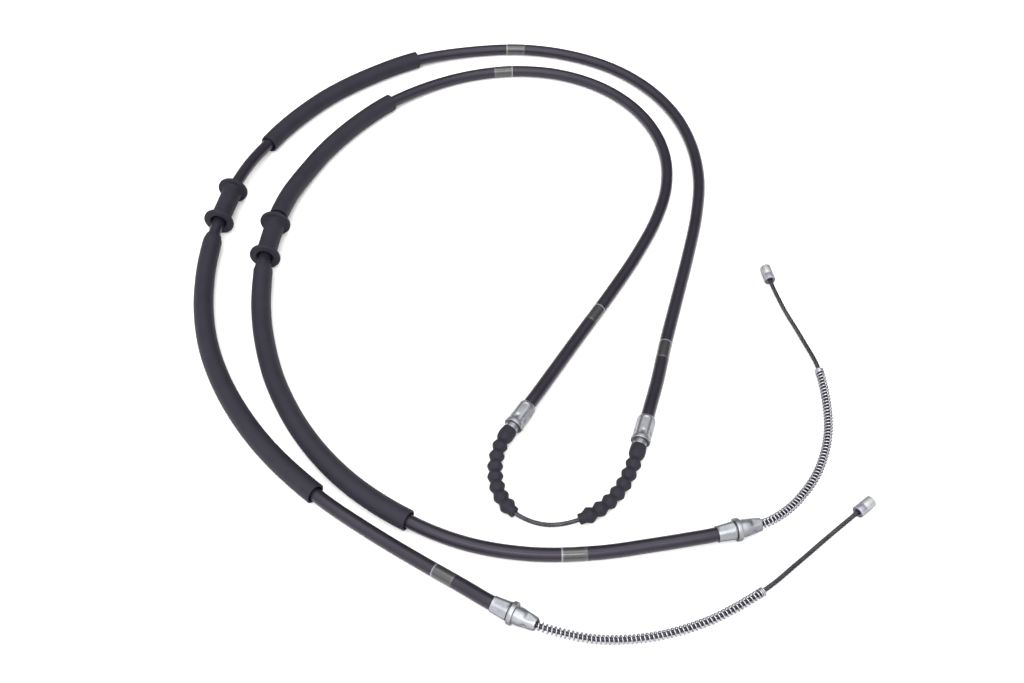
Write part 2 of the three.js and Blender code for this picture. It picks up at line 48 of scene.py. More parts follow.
# The two routes of the rope, from the front loop to each nipple
routes = {
    "right": [
        (23, -202, 3.6), (35, -201.5, 4.2), (46.5, -198, 5.3), (58.5, -190.5, 5.5),
        (68.5, -180, 5.6), (76.5, -166, 5.9), (82, -152, 6.5), (85.5, -141.5, 6.7),
        (92, -119, 6.8), (100, -91.5, 5.5), (109, -55.5, 4.6), (121, -12, 4.6),
        (133, 31.5, 4.6), (143, 73, 4.6), (148.5, 112.5, 4.6), (146.5, 152.5, 4.6),
        (136, 191, 4.6), (115.5, 225.5, 4.6), (86.5, 252.5, 4.6), (50.5, 270, 4.6),
        (11.5, 278, 4.6), (-30.5, 275.5, 4.6), (-79, 261, 6.5), (-117, 239, 6.3),
        (-151.5, 210.5, 6.3), (-179.5, 175.5, 6.6), (-195, 148, 7.9), (-205.5, 121.5, 10.3),
        (-213, 94, 11.3), (-219, 57, 11.3), (-221, 36, 10.4), (-221.5, 8, 8.3),
        (-217.5, -26.5, 6.7), (-207, -65, 6.3), (-187.5, -105.5, 6.3), (-158.5, -146, 6.3),
        (-120, -183.5, 6.5), (-86.5, -207.5, 4.8), (-53, -229.5, 4.8), (-28, -246, 6.5),
        (-9.5, -258.5, 7.9), (17.5, -272.5, 7.6), (34, -277, 5.8), (53.5, -279.5, 4),
        (83.5, -277.5, 3.4), (117, -267.5, 3.4), (153, -247, 3.4), (174.7, -229.2, 2.7),
        (197.7, -209.7, 2.8), (219, -192.5, 4.1), (228, -185, 4.1),
    ],
    "left": [
        (23, -202, 3.6), (11.5, -199, 4.2), (1.5, -192.5, 5.3), (-6, -180.5, 5.5),
        (-9, -166, 5.6), (-8, -152, 5.9), (-3.5, -139, 6.5), (2, -128.5, 6.7),
        (14.5, -109, 6.8), (28.5, -84.5, 5.5), (48.5, -50, 4.6), (71.5, -11.5, 4.6),
        (93.5, 28, 4.6), (111.5, 67, 4.6), (122, 102.5, 4.6), (124, 139.5, 4.6),
        (116, 174, 4.6), (98, 205.5, 4.6), (71.5, 229.5, 4.6), (37, 244.5, 4.6),
        (-3, 247.5, 4.6), (-48, 236.5, 4.6), (-95, 206.5, 6.5), (-123.5, 177, 6.3),
        (-148, 141, 6.8), (-162.5, 109.5, 8.6), (-170.5, 86, 10.2), (-176, 57.7, 11.3),
        (-179.5, 20.3, 11.3), (-179, 4, 10.5), (-177, -23, 8.5), (-170.5, -55.5, 6.8),
        (-157, -95, 6.3), (-133.5, -137, 6.3), (-102, -173, 6.3), (-62, -201.5, 6.5),
        (-25.5, -216.5, 4.8), (14, -223.5, 4.6), (54, -222.5, 4.6), (88.5, -217.5, 5.3),
        (110, -214.5, 6.9), (127.5, -211.5, 7.9), (157, -203.5, 7.6), (169, -196.5, 6.1),
        (182, -184.5, 4.4), (198.5, -162, 3.4), (210.5, -129, 3.4), (212.5, -80, 3.4),
        (205.2, -50, 2.7), (196.2, -21.5, 2.9), (190, 4, 4.1), (188, 17, 4.1),
    ],
}
# Points of a route where a fitting starts, the gaps between the bush and the two sleeves, and
# how far the spring reaches beyond the rear ferrule
seats = {
    "right": {"mouth": 7, "bush": 28, "shank": 40},
    "left": {"mouth": 7, "bush": 27, "shank": 41},
}
spans = {
    "right": {"frontGap": 60.2, "rearGap": 14, "spring": 144},
    "left": {"frontGap": 7, "rearGap": 7.5, "spring": 147.5},
}
# Lengths along the route; the boot's is from the loop's middle to where the boot starts
lengths = {
    "boot": 21, "spigot": 9.3, "frontFerrule": 19.6, "frontSleeve": 161.4, "bush": 37.5,
    "rearSleeve": 256, "rearFerrule": 28.8, "nipple": 13.2,
}
easing = 16  # how far a bend runs out on each side of a straight fitting


def curvePoint(points, span, t):
    # centripetal Catmull-Rom, as the solids' own route
    p1, p2 = points[span], points[span + 1]
    p0 = points[span - 1] if span > 0 else p1 * 2 - p2
    p3 = points[span + 2] if span + 2 < len(points) else p2 * 2 - p1
    d0, d1, d2 = ((b - a).length ** 0.5 for a, b in ((p0, p1), (p1, p2), (p2, p3)))
    m1 = ((p1 - p0) / d0 - (p2 - p0) / (d0 + d1) + (p2 - p1) / d1) * d1
    m2 = ((p2 - p1) / d1 - (p3 - p1) / (d1 + d2) + (p3 - p2) / d2) * d1
    return (
        p1 + m1 * t + (p1 * -3 + p2 * 3 - m1 * 2 - m2) * t**2 + (p1 * 2 - p2 * 2 + m1 + m2) * t**3
    )


class Route:
    # One side's centre line: a smooth bend that runs straight through each rigid fitting

    def __init__(self, name, samples, perSpan):
        self.name = name
        self.samples = samples
        self.distances = [0.0]
        for before, after in zip(samples, samples[1:]):
            self.distances.append(self.distances[-1] + (after - before).length)
        self.length = self.distances[-1]
        seat, span = seats[name], spans[name]
        self.boot = lengths["boot"]
        self.mouth = self.distances[seat["mouth"] * perSpan]
        self.casing = self.mouth + lengths["frontFerrule"]
        self.bush = self.distances[seat["bush"] * perSpan]
        self.frontSleeve = self.bush - span["frontGap"] - lengths["frontSleeve"]
        self.rearSleeve = self.bush + lengths["bush"] + span["rearGap"]
        self.shank = self.distances[seat["shank"] * perSpan]
        self.nose = self.shank + lengths["rearFerrule"]
        self.springEnd = self.nose + span["spring"]
        self.nipple = self.length - lengths["nipple"]
        self.rigid = [
            (self.mouth - lengths["spigot"], self.casing),
            (self.bush, self.bush + lengths["bush"]),
            (self.shank, self.nose),
            (self.nipple, self.length),
        ]

    def onCurve(self, distance):
        distance = min(max(distance, 0), self.length)
        low, high = 0, len(self.distances) - 1
        while high - low > 1:
            middle = (low + high) // 2
            if self.distances[middle] > distance:
                high = middle
            else:
                low = middle
        span = self.distances[high] - self.distances[low]
        return self.samples[low].lerp(self.samples[high], (distance - self.distances[low]) / span)

    def point(self, distance):
        for start, end in self.rigid:
            a, b = self.onCurve(start), self.onCurve(end)
            chord = (b - a).normalized()
            if start <= distance <= end:
                return a.lerp(b, (distance - start) / (end - start))
            for edge, corner, way in ((start, a, -1), (end, b, 1)):
                away = (distance - edge) * way
                if 0 < away < easing and 0 <= edge + way * easing <= self.length:
                    far = self.onCurve(edge + way * easing)
                    beyond = self.onCurve(edge + way * (easing + 1))
                    t = away / easing
                    leave = chord * (way * easing)
                    arrive = (beyond - far) * easing
                    return (
                        corner * (2 * t**3 - 3 * t**2 + 1) + leave * (t**3 - 2 * t**2 + t)
                        + far * (3 * t**2 - 2 * t**3) + arrive * (t**3 - t**2)
                    )
        return self.onCurve(distance)

    def frameAt(self, distance):
        # centre, across and above: the level frame of the route at a distance
        reach = 0.4
        low, high = max(0, distance - reach), min(self.length, distance + reach)
        for start, end in self.rigid:
            if start <= distance <= end:
                low, high = start, end
        along = (self.point(high) - self.point(low)).normalized()
        across = up.cross(along).normalized()
        return self.point(distance), across, along.cross(across)


def readRoutes():
    perSpan = 24
    rightPoints = [Vector(p) for p in routes["right"]]
    whole = rightPoints[:0:-1] + [Vector(p) for p in routes["left"]]
    samples = [
        curvePoint(whole, span, k / perSpan) for span in range(len(whole) - 1) for k in range(perSpan)
    ]
    samples.append(whole[-1])
    middle = (len(rightPoints) - 1) * perSpan
    return {
        "right": Route("right", samples[middle::-1], perSpan),
        "left": Route("left", samples[middle:], perSpan),
    }


sides = readRoutes()
print("routes:", {name: round(side.length, 1) for name, side in sides.items()})


# Camera, above the loop and looking down on it
cameraSetup = {"place": (0.0018, -0.6035, 0.659), "tilt": 40, "lens": 43.03, "sensor": 36}


def addCamera():
    data = bpy.data.cameras.new("camera")
    data.lens = cameraSetup["lens"]
    data.sensor_width = cameraSetup["sensor"]
    camera = bpy.data.objects.new("camera", data)
    camera.location = cameraSetup["place"]
    camera.rotation_euler = (math.radians(cameraSetup["tilt"]), 0, 0)
    bpy.context.collection.objects.link(camera)
    bpy.context.scene.camera = camera


addCamera()
print("camera placed")


# Shared steps
def finishMesh(bm, name, material, sharpAngle=38):
    # everything is in metres on its route by now
    mesh = bpy.data.meshes.new(name)
    bm.to_mesh(mesh)
    bm.free()
    mesh.shade_smooth()
    mesh.set_sharp_from_angle(angle=math.radians(sharpAngle))
    mesh.materials.append(material)
    piece = bpy.data.objects.new(name, mesh)
    bpy.context.collection.objects.link(piece)
    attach(piece, "root")
    return piece


def wrapTube(rings, steps, capped=True):
    # a grid rolled into a tube: rings are (centre, across, above, radius, distance), in mm
    bm = bmesh.new()
    uv = bm.loops.layers.uv.new("UVMap")
    count = len(rings) - 1
    bmesh.ops.create_grid(bm, x_segments=count, y_segments=steps, size=0.5, calc_uvs=True)
    spot = {}
    for vert in bm.verts:
        spot[vert] = (round((vert.co.x + 0.5) * count), round((vert.co.y + 0.5) * steps))
    for face in bm.faces:
        for loop in face.loops:
            i, k = spot[loop.vert]
            loop[uv].uv = (k / steps, rings[i][4] * uvPerMm)
    for vert, (i, k) in spot.items():
        centre, across, above, radius, distance = rings[i]
        angle = 2 * math.pi * k / steps
        reach = radius(angle, distance) if callable(radius) else radius
        vert.co = (centre + (across * math.cos(angle) + above * math.sin(angle)) * reach) * mm
    bmesh.ops.remove_doubles(bm, verts=bm.verts, dist=tubeWeld)
    if capped:
        bmesh.ops.holes_fill(bm, edges=[e for e in bm.edges if e.is_boundary], sides=0)
    bmesh.ops.recalc_face_normals(bm, faces=bm.faces)
    return bm


def spinProfile(profile, steps):
    # a closed profile of (distance along the axis, radius) turned about the axis Y
    bm = bmesh.new()
    verts = [bm.verts.new((0, y, radius)) for y, radius in profile]
    edges = [bm.edges.new(pair) for pair in zip(verts, verts[1:] + verts[:1])]
    bmesh.ops.spin(
        bm, geom=verts + edges, cent=(0, 0, 0), axis=(0, 1, 0), angle=2 * math.pi, steps=steps,
        use_merge=True,
    )
    bmesh.ops.remove_doubles(bm, verts=bm.verts, dist=profileWeld)
    bmesh.ops.recalc_face_normals(bm, faces=bm.faces)
    uv = bm.loops.layers.uv.new("UVMap")
    for face in bm.faces:
        middle = face.calc_center_median()
        home = math.atan2(middle.x, middle.z) / (2 * math.pi)
        for loop in face.loops:
            co = loop.vert.co
            turn = math.atan2(co.x, co.z) / (2 * math.pi)
            turn += round(home - turn)
            loop[uv].uv = (turn, co.y * uvPerMm)
    return bm


def layOnRoute(bm, side, at):
    for vert in bm.verts:
        centre, across, above = side.frameAt(at + vert.co.y)
        vert.co = (centre + across * vert.co.x + above * vert.co.z) * mm
    return bm


def smoothStep(low, high, value):
    t = min(1, max(0, (value - low) / (high - low)))
    return t * t * (3 - 2 * t)


def bump(value, middle, width):
    return math.exp(-(((value - middle) / width) ** 2))


def ringsBetween(side, start, end, spacing, radius):
    count = max(1, math.ceil((end - start) / spacing))
    rings = []
    for i in range(count + 1):
        distance = start + (end - start) * i / count
        rings.append((*side.frameAt(distance), radius, distance))
    return rings


# Finishes
def socket(group, name, kind, inOut="INPUT", value=None):
    made = group.interface.new_socket(name=name, in_out=inOut, socket_type=kind)
    if value is not None:
        made.default_value = value
    return made


def newGroup(name, inputs, outputs):
    group = bpy.data.node_groups.new(name, "ShaderNodeTree")
    for label, kind, value in inputs:
        socket(group, label, kind, "INPUT", value)
    for label, kind in outputs:
        socket(group, label, kind, "OUTPUT")
    start = group.nodes.new("NodeGroupInput")
    end = group.nodes.new("NodeGroupOutput")
    return group, start, end


def addNode(tree, kind, **values):
    node = tree.nodes.new(kind)
    for key, value in values.items():
        setattr(node, key, value)
    return node


def link(tree, source, target):
    tree.links.new(source, target)


def makeMottle():
    # uneven tone in two grain sizes, on object coordinates
    group, start, end = newGroup(
        "mottle",
        [("Coarse", "NodeSocketFloat", 60.0), ("Fine", "NodeSocketFloat", 900.0),
         ("Share", "NodeSocketFloat", 0.5)],
        [("Mask", "NodeSocketFloat"), ("Grain", "NodeSocketFloat")],
    )
    place = addNode(group, "ShaderNodeTexCoord")
    coarse = addNode(group, "ShaderNodeTexNoise")
    coarse.inputs["Detail"].default_value = 4
    fine = addNode(group, "ShaderNodeTexNoise")
    fine.inputs["Detail"].default_value = 3
    mix = addNode(group, "ShaderNodeMix", data_type="FLOAT")
    link(group, place.outputs["Object"], coarse.inputs["Vector"])
    link(group, place.outputs["Object"], fine.inputs["Vector"])
    link(group, start.outputs["Coarse"], coarse.inputs["Scale"])
    link(group, start.outputs["Fine"], fine.inputs["Scale"])
    link(group, start.outputs["Share"], mix.inputs["Factor"])
    link(group, coarse.outputs["Fac"], mix.inputs["A"])
    link(group, fine.outputs["Fac"], mix.inputs["B"])
    link(group, mix.outputs["Result"], end.inputs["Mask"])
    link(group, fine.outputs["Fac"], end.inputs["Grain"])
    return group


def makeStreaks():
    # fine lines that run along a piece, on its own unwrapped surface
    group, start, end = newGroup(
        "streaks",
        [("Around", "NodeSocketFloat", 90.0), ("Along", "NodeSocketFloat", 3.0)],
        [("Line", "NodeSocketFloat")],
    )
    place = addNode(group, "ShaderNodeUVMap", uv_map="UVMap")
    split = addNode(group, "ShaderNodeSeparateXYZ")
    around = addNode(group, "ShaderNodeMath", operation="MULTIPLY")
    along = addNode(group, "ShaderNodeMath", operation="MULTIPLY")
    join = addNode(group, "ShaderNodeCombineXYZ")
    noise = addNode(group, "ShaderNodeTexNoise")
    noise.inputs["Scale"].default_value = 1
    noise.inputs["Detail"].default_value = 2
    link(group, place.outputs["UV"], split.inputs["Vector"])
    link(group, split.outputs["X"], around.inputs[0])
    link(group, start.outputs["Around"], around.inputs[1])
    link(group, split.outputs["Y"], along.inputs[0])
    link(group, start.outputs["Along"], along.inputs[1])
    link(group, around.outputs["Value"], join.inputs["X"])
    link(group, along.outputs["Value"], join.inputs["Y"])
    link(group, join.outputs["Vector"], noise.inputs["Vector"])
    link(group, noise.outputs["Fac"], end.inputs["Line"])
    return group


# From how far down a face looks to how much of its colour is left under the painted shade
paintedShadeFade = {"From Min": -0.1, "From Max": 0.55, "To Min": 0.3}


def makePaintedUndersideShade():
    # painted shade on the faces that look sideways and down, which darkens their colour
    group, start, end = newGroup("paintedUndersideShade", [], [("Shade", "NodeSocketFloat")])
    face = addNode(group, "ShaderNodeNewGeometry")
    split = addNode(group, "ShaderNodeSeparateXYZ")
    fade = addNode(group, "ShaderNodeMapRange", interpolation_type="SMOOTHSTEP")
    for key, value in paintedShadeFade.items():
        fade.inputs[key].default_value = value
    link(group, face.outputs["Normal"], split.inputs["Vector"])
    link(group, split.outputs["Z"], fade.inputs["Value"])
    link(group, fade.outputs["Result"], end.inputs["Shade"])
    return group


mottle = makeMottle()
streaks = makeStreaks()
paintedUndersideShade = makePaintedUndersideShade()


def useGroup(tree, group, **values):
    node = addNode(tree, "ShaderNodeGroup", node_tree=group)
    for key, value in values.items():
        node.inputs[key].default_value = value
    return node


def addMottle(tree, coarse, fine, share):
    return useGroup(tree, mottle, Coarse=coarse, Fine=fine, Share=share)


def addStreaks(tree, around, along):
    return useGroup(tree, streaks, Around=around, Along=along).outputs["Line"]


def ramp(tree, source, stops):
    node = addNode(tree, "ShaderNodeValToRGB")
    elements = node.color_ramp.elements
    while len(elements) < len(stops):
        elements.new(0.5)
    for element, (position, color) in zip(elements, stops):
        element.position = position
        element.color = (*color, 1) if isinstance(color, tuple) else (color, color, color, 1)
    link(tree, source, node.inputs["Fac"])
    return node.outputs["Color"]


def spread(tree, source, low, high):
    # fades from one value or colour to another over the middle of a noise's range
    return ramp(tree, source, [(0.3, low), (0.7, high)])


def multiply(tree, a, b):
    mix = addNode(tree, "ShaderNodeMix", data_type="RGBA", blend_type="MULTIPLY")
    mix.inputs["Factor"].default_value = 1
    # the colour sockets are the seventh, the eighth and the third of a mix node's lists
    link(tree, a, mix.inputs[6])
    link(tree, b, mix.inputs[7])
    return mix.outputs[2]


def newMaterial(name, metallic=0.0, specular=0.5):
    material = bpy.data.materials.new(name)
    material.use_nodes = True
    shader = material.node_tree.nodes["Principled BSDF"]
    shader.inputs["Metallic"].default_value = metallic
    shader.inputs["Specular IOR Level"].default_value = specular
    return material, material.node_tree, shader


def addBump(tree, shader, height, strength, depth):
    node = addNode(tree, "ShaderNodeBump")
    node.inputs["Strength"].default_value = strength
    node.inputs["Distance"].default_value = depth
    link(tree, height, node.inputs["Height"])
    link(tree, node.outputs["Normal"], shader.inputs["Normal"])


def makePlainFinish(name, dark, light, rough, grain, specular=0.5):
    # rough is (lowest, highest), grain is (coarse, fine, share, bump strength, bump depth)
    material, tree, shader = newMaterial(name, specular=specular)
    tone = addMottle(tree, *grain[:3])
    mask = tone.outputs["Mask"]
    link(tree, spread(tree, mask, dark, light), shader.inputs["Base Color"])
    link(tree, spread(tree, mask, *rough), shader.inputs["Roughness"])
    addBump(tree, shader, tone.outputs["Grain"], *grain[3:])
    return material


# In the finishes, mottle is (coarse, fine, share), streaks is (around, along) and bump is
# (strength, depth)
sheathFinish = {
    "dark": (0.008, 0.0068, 0.0115), "light": (0.014, 0.012, 0.019), "rough": (0.3, 0.4),
    "gloss": 0.32, "glossTint": (0.93, 0.87, 1, 1), "mottle": (70.0, 700.0, 0.35),
    "streaks": (70.0, 0.6), "bump": (0.25, 0.00006),
}


def makeSheathFinish():
    finish = sheathFinish
    material, tree, shader = newMaterial("blackSheath", specular=finish["gloss"])
    shader.inputs["Specular Tint"].default_value = finish["glossTint"]
    mask = addMottle(tree, *finish["mottle"]).outputs["Mask"]
    line = addStreaks(tree, *finish["streaks"])
    link(tree, spread(tree, mask, finish["dark"], finish["light"]), shader.inputs["Base Color"])
    link(tree, spread(tree, line, *finish["rough"]), shader.inputs["Roughness"])
    addBump(tree, shader, line, *finish["bump"])
    return material


steelFinish = {
    "mottle": (160.0, 1100.0, 0.4), "cloudFrom": 0.32, "cloudTo": 0.66, "streaks": (40.0, 1.5),
    "bump": (0.3, 0.00004),
}


def startSteel(name, dark, light, rough):
    # plated steel: clouded plating, painted shade on the undersides, and marks that run along the
    # piece
    finish = steelFinish
    material, tree, shader = newMaterial(name, metallic=1.0)
    mask = addMottle(tree, *finish["mottle"]).outputs["Mask"]
    line = addStreaks(tree, *finish["streaks"])
    cloud = ramp(tree, mask, [(finish["cloudFrom"], dark), (finish["cloudTo"], light)])
    # the colour darkened by the painted shade on the undersides
    color = multiply(tree, cloud, useGroup(tree, paintedUndersideShade).outputs["Shade"])
    link(tree, color, shader.inputs["Base Color"])
    link(tree, spread(tree, line, *rough), shader.inputs["Roughness"])
    addBump(tree, shader, line, *finish["bump"])
    return material, tree, shader, color


def makeSteelFinish(name, dark, light, rough):
    return startSteel(name, dark, light, rough)[0]


def tintAlong(tree, shader, color, stops):
    # multiplies a colour by a ramp that runs along the piece, from V 0 to V 1
    place = addNode(tree, "ShaderNodeUVMap", uv_map="UVMap")
    split = addNode(tree, "ShaderNodeSeparateXYZ")
    link(tree, place.outputs["UV"], split.inputs["Vector"])
    tint = ramp(tree, split.outputs["Y"], stops)
    link(tree, multiply(tree, color, tint), shader.inputs["Base Color"])


nippleFinish = {
    "dark": (0.38, 0.38, 0.39), "light": (0.48, 0.49, 0.5), "rough": (0.5, 0.6),
    # tints along it: lilac at the rope, then a thin dull line, and grey beyond
    "tints": [
        (0, (0.88, 0.85, 0.97)), (0.047, (0.88, 0.85, 0.97)), (0.05, (0.55, 0.54, 0.6)),
        (0.053, (0.96, 0.96, 0.96)), (1, (0.96, 0.96, 0.96)),
    ],
}


def makeNippleFinish():
    finish = nippleFinish
    material, tree, shader, color = startSteel(
        "nippleZinc", finish["dark"], finish["light"], finish["rough"]
    )
    tintAlong(tree, shader, color, finish["tints"])
    return material


ropeFinish = {
    "dark": (0.045, 0.043, 0.05), "light": (0.11, 0.108, 0.12), "rough": (0.34, 0.55),
    # the colour's share across each strand, dark in the valleys between them: painted shade
    "strands": 6, "seams": [(0.15, 0.2), (0.75, 1.0)],
}


def makeRopeFinish():
    # dull strands with painted shade in the seams between them
    finish = ropeFinish
    material, tree, shader, color = startSteel(
        "ropeWire", finish["dark"], finish["light"], finish["rough"]
    )
    place = addNode(tree, "ShaderNodeUVMap", uv_map="UVMap")
    split = addNode(tree, "ShaderNodeSeparateXYZ")
    turn = addNode(tree, "ShaderNodeMath", operation="MULTIPLY")
    turn.inputs[1].default_value = finish["strands"] * math.pi
    wave = addNode(tree, "ShaderNodeMath", operation="COSINE")
    height = addNode(tree, "ShaderNodeMath", operation="ABSOLUTE")
    link(tree, place.outputs["UV"], split.inputs["Vector"])
    link(tree, split.outputs["X"], turn.inputs[0])
    link(tree, turn.outputs["Value"], wave.inputs[0])
    link(tree, wave.outputs["Value"], height.inputs[0])
    # painted shade in the valleys between the strands
    seams = ramp(tree, height.outputs["Value"], finish["seams"])
    link(tree, multiply(tree, color, seams), shader.inputs["Base Color"])
    return material


wrapFinish = {
    "dark": (0.5, 0.48, 0.56), "light": (0.8, 0.78, 0.86), "rough": (0.16, 0.28), "gloss": 0.7,
    "mottle": (160.0, 900.0, 0.5), "bump": (0.15, 0.0001),
    # how much of the colour shows, from the pale edge on: the film is clear over the black
    "shares": [(0, 0.3), (0.006, 0.22), (0.013, 0.028), (0.14, 0.028), (0.15, 0.06)],
}


def makeWrapFinish():
    # clear film over the black sheath, with a pale edge at one end
    finish = wrapFinish
    material, tree, shader = newMaterial("clearWrap", specular=finish["gloss"])
    mask = addMottle(tree, *finish["mottle"]).outputs["Mask"]
    color = spread(tree, mask, finish["dark"], finish["light"])
    tintAlong(tree, shader, color, finish["shares"])
    link(tree, spread(tree, mask, *finish["rough"]), shader.inputs["Roughness"])
    addBump(tree, shader, mask, *finish["bump"])
    return material


finishes = {
    "sheath": makeSheathFinish(),
    "rubber": makePlainFinish(
        "blackRubber", (0.012, 0.0107, 0.0165), (0.02, 0.018, 0.027), (0.62, 0.78),
        (90.0, 1600.0, 0.4, 0.35, 0.00008), specular=0.18,
    ),
    "sleeve": makePlainFinish(
        "blackHose", (0.0115, 0.0103, 0.0165), (0.0185, 0.0165, 0.026), (0.55, 0.7),
        (80.0, 1200.0, 0.4, 0.3, 0.00008), specular=0.2,
    ),
    "zinc": makeSteelFinish("zincPlate", (0.245, 0.24, 0.27), (0.335, 0.355, 0.368), (0.36, 0.5)),
    "spring": makeSteelFinish("springWire", (0.34, 0.335, 0.38), (0.5, 0.49, 0.55), (0.2, 0.34)),
    "nipple": makeNippleFinish(),
    "rope": makeRopeFinish(),
    "armour": makeSteelFinish("armourWire", (0.3, 0.3, 0.31), (0.45, 0.45, 0.46), (0.35, 0.5)),
    "liner": makePlainFinish(
        "linerPlastic", (0.72, 0.71, 0.68), (0.82, 0.81, 0.78), (0.4, 0.5),
        (60.0, 800.0, 0.3, 0.1, 0.00003),
    ),
    "wrap": makeWrapFinish(),
}
print("finishes made")


# Casing: the black outer sheath
sheathSize = {"radius": 4.5, "fit": 0.3, "edge": 0.3, "steps": 32, "spacing": 4}


def makeSheath(side):
    size = sheathSize
    start, end = side.casing + size["fit"], side.shank - size["fit"]
    rings = ringsBetween(side, start, end, size["spacing"], size["radius"])
    path = [tuple(ring[0] * mm) for ring in rings]
    edges = [(*ring[:3], size["radius"] - size["edge"], ring[4]) for ring in (rings[0], rings[-1])]
    bm = wrapTube([edges[0], *rings, edges[1]], size["steps"])
    piece = finishMesh(bm, f"{side.name}Sheath", finishes["sheath"])
    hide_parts(f"{side.name}_casing_sheath")
    return piece, path


# Loose sleeves over the casing
sleeveSize = {
    "radius": 7, "bore": 5.5, "sag": 0.7, "shoulder": 5.5, "tip": 5.7, "tipBore": 4.85,
    "edge": 0.35, "steps": 36, "spacing": 4, "boreRings": 60,
    # where the shoulder has rings, as shares of its length, and how far behind it the next is
    "shoulderRings": (0.2, 0.35, 0.5, 0.65, 0.8, 0.9, 1), "nextRing": 1,
}


def sleeveRing(side, distance, radius, slack):
    # the sleeve lies on the floor as far as its slack round the casing lets it
    centre, across, above = side.frameAt(distance)
    sag = sleeveSize["sag"] * slack
    height = min(max(sleeveSize["radius"], centre.z - sag), centre.z + sag)
    return (Vector((centre.x, centre.y, height)), across, above, radius, distance)


def makeSleeve(side, name, node, start, length, shoulder):
    # shoulder is the length over which the sleeve draws in at its start, or 0
    size = sleeveSize
    outer, bore, edge = size["radius"], size["bore"], size["edge"]
    tip, tipBore = (size["tip"], size["tipBore"]) if shoulder else (outer, bore)
    end = start + length
    first, last = start + max(shoulder, edge) + size["nextRing"], end - edge
    line = [(start, tipBore), (start, tip - edge), (start + edge, tip)]
    if shoulder:
        for t in size["shoulderRings"]:
            line.append((start + shoulder * t, tip + (outer - tip) * smoothStep(0, 1, t)))
    count = math.ceil((last - first) / size["spacing"])
    line += [(first + (last - first) * i / count, outer) for i in range(count + 1)]
    line += [(end, outer - edge), (end, bore + edge), (last, bore)]
    inner, count = start + shoulder, size["boreRings"]
    line += [(last - (last - inner) * i / count, bore) for i in range(1, count + 1)]
    line.append((start, tipBore))
    rings = []
    for distance, radius in line:
        slack = smoothStep(0, shoulder, distance - start) if shoulder else 1
        rings.append(sleeveRing(side, distance, radius, slack))
    bm = wrapTube(rings, size["steps"], capped=False)
    piece = finishMesh(bm, f"{side.name}{name}", finishes["sleeve"])
    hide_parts(f"{side.name}_{node}")
    return piece


# Guide bush: a rubber spool
bushSize = {
    "body": 7.24, "flange": 11.3, "thickness": 2.7, "bore": 5.03, "flare": 1.3, "mouth": 4,
    "rounding": 0.95, "fillet": 1.2, "lipRounding": 0.5, "boreRounding": 1, "steps": 64,
}


def roundCorner(corner, before, after, radius, steps=4):
    # points of a rounded corner between two lines that meet in it
    a = (Vector(before) - Vector(corner)).normalized() * radius + Vector(corner)
    b = (Vector(after) - Vector(corner)).normalized() * radius + Vector(corner)
    c = Vector(corner)
    points = []
    for i in range(steps + 1):
        t = i / steps
        points.append(tuple(a * (1 - t) ** 2 + c * 2 * t * (1 - t) + b * t**2))
    return points


def roundedLine(corners):
    # a closed profile from its corners, each ((distance, radius), rounding)
    places = [place for place, _ in corners]
    line = []
    for i, (corner, rounding) in enumerate(corners):
        before, after = places[i - 1], places[(i + 1) % len(places)]
        line += roundCorner(corner, before, after, rounding) if rounding else [corner]
    return line


def makeBush(side):
    size, length = bushSize, lengths["bush"]
    thick, bore, mouth = size["thickness"], size["bore"], size["mouth"]
    half = [
        ((0, size["flange"]), size["rounding"]), ((thick, size["flange"]), size["rounding"]),
        ((thick, size["body"]), size["fillet"]),
    ]
    mirrored = [((length - y, radius), rounding) for (y, radius), rounding in reversed(half)]
    inside = [
        ((length, bore + size["flare"]), size["lipRounding"]),
        ((length - mouth, bore), size["boreRounding"]), ((mouth, bore), size["boreRounding"]),
        ((0, bore + size["flare"]), size["lipRounding"]),
    ]
    profile = roundedLine(half + mirrored + inside)
    bm = layOnRoute(spinProfile(profile, size["steps"]), side, side.bush)
    piece = finishMesh(bm, f"{side.name}Bush", finishes["rubber"])
    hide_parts(f"{side.name}_guide_bush")
    return piece


# Front ferrule: crimped at the casing, with a rim and a neck at the boot
frontSize = {
    "hole": 1.95, "spigot": 3.7, "neck": 4.6, "neckEnd": 3.3, "rim": 6.48, "rimLength": 2.4,
    "rimSlope": 0.8, "flat": 5.78, "corner": 6.2, "bodyEnd": 17.6, "shoulder": 5.5,
    "socket": 3.95, "socketStart": 5.6, "steps": 72,
    # how far behind the rim the flats start, and how far before the body's end they stop
    "flatsAfter": 1.4, "flatsBefore": 0.8, "ease": 1,
    "dents": {
        "at": 6, "angles": (-122, -62, -2, 58, 118), "depth": 0.5, "length": 1.1, "width": 1.2,
    },
}
crimp = {
    "flats": 6,
    "corner": 1.075,  # how far out a rounded corner stands, as a share of its flat
    "reach": 0.6,  # how far under a flat the metal still follows it
    "bore": 3.9,  # what lies nearer to the axis than this is bore, and isn't pressed
    "leastPress": 0.004, "spacing": 0.8,
}


def pressHexagon(bm, start, end, flatAt, ease):
    # presses a round stretch to rounded flats, fading out at both ends
    step = 2 * math.pi / crimp["flats"]
    for vert in bm.verts:
        y, radius = vert.co.y, math.hypot(vert.co.x, vert.co.z)
        flat = flatAt(y)
        share = smoothStep(start - ease, start, y) * (1 - smoothStep(end, end + ease, y))
        if share > 0 and radius > flat - crimp["reach"]:
            angle = math.atan2(vert.co.x, vert.co.z)
            off = angle - step * round(angle / step)
            pressed = min(flat * crimp["corner"], flat / math.cos(off))
            pressed = radius + (min(pressed, radius) - radius) * share
            vert.co.x = pressed * math.sin(angle)
            vert.co.z = pressed * math.cos(angle)


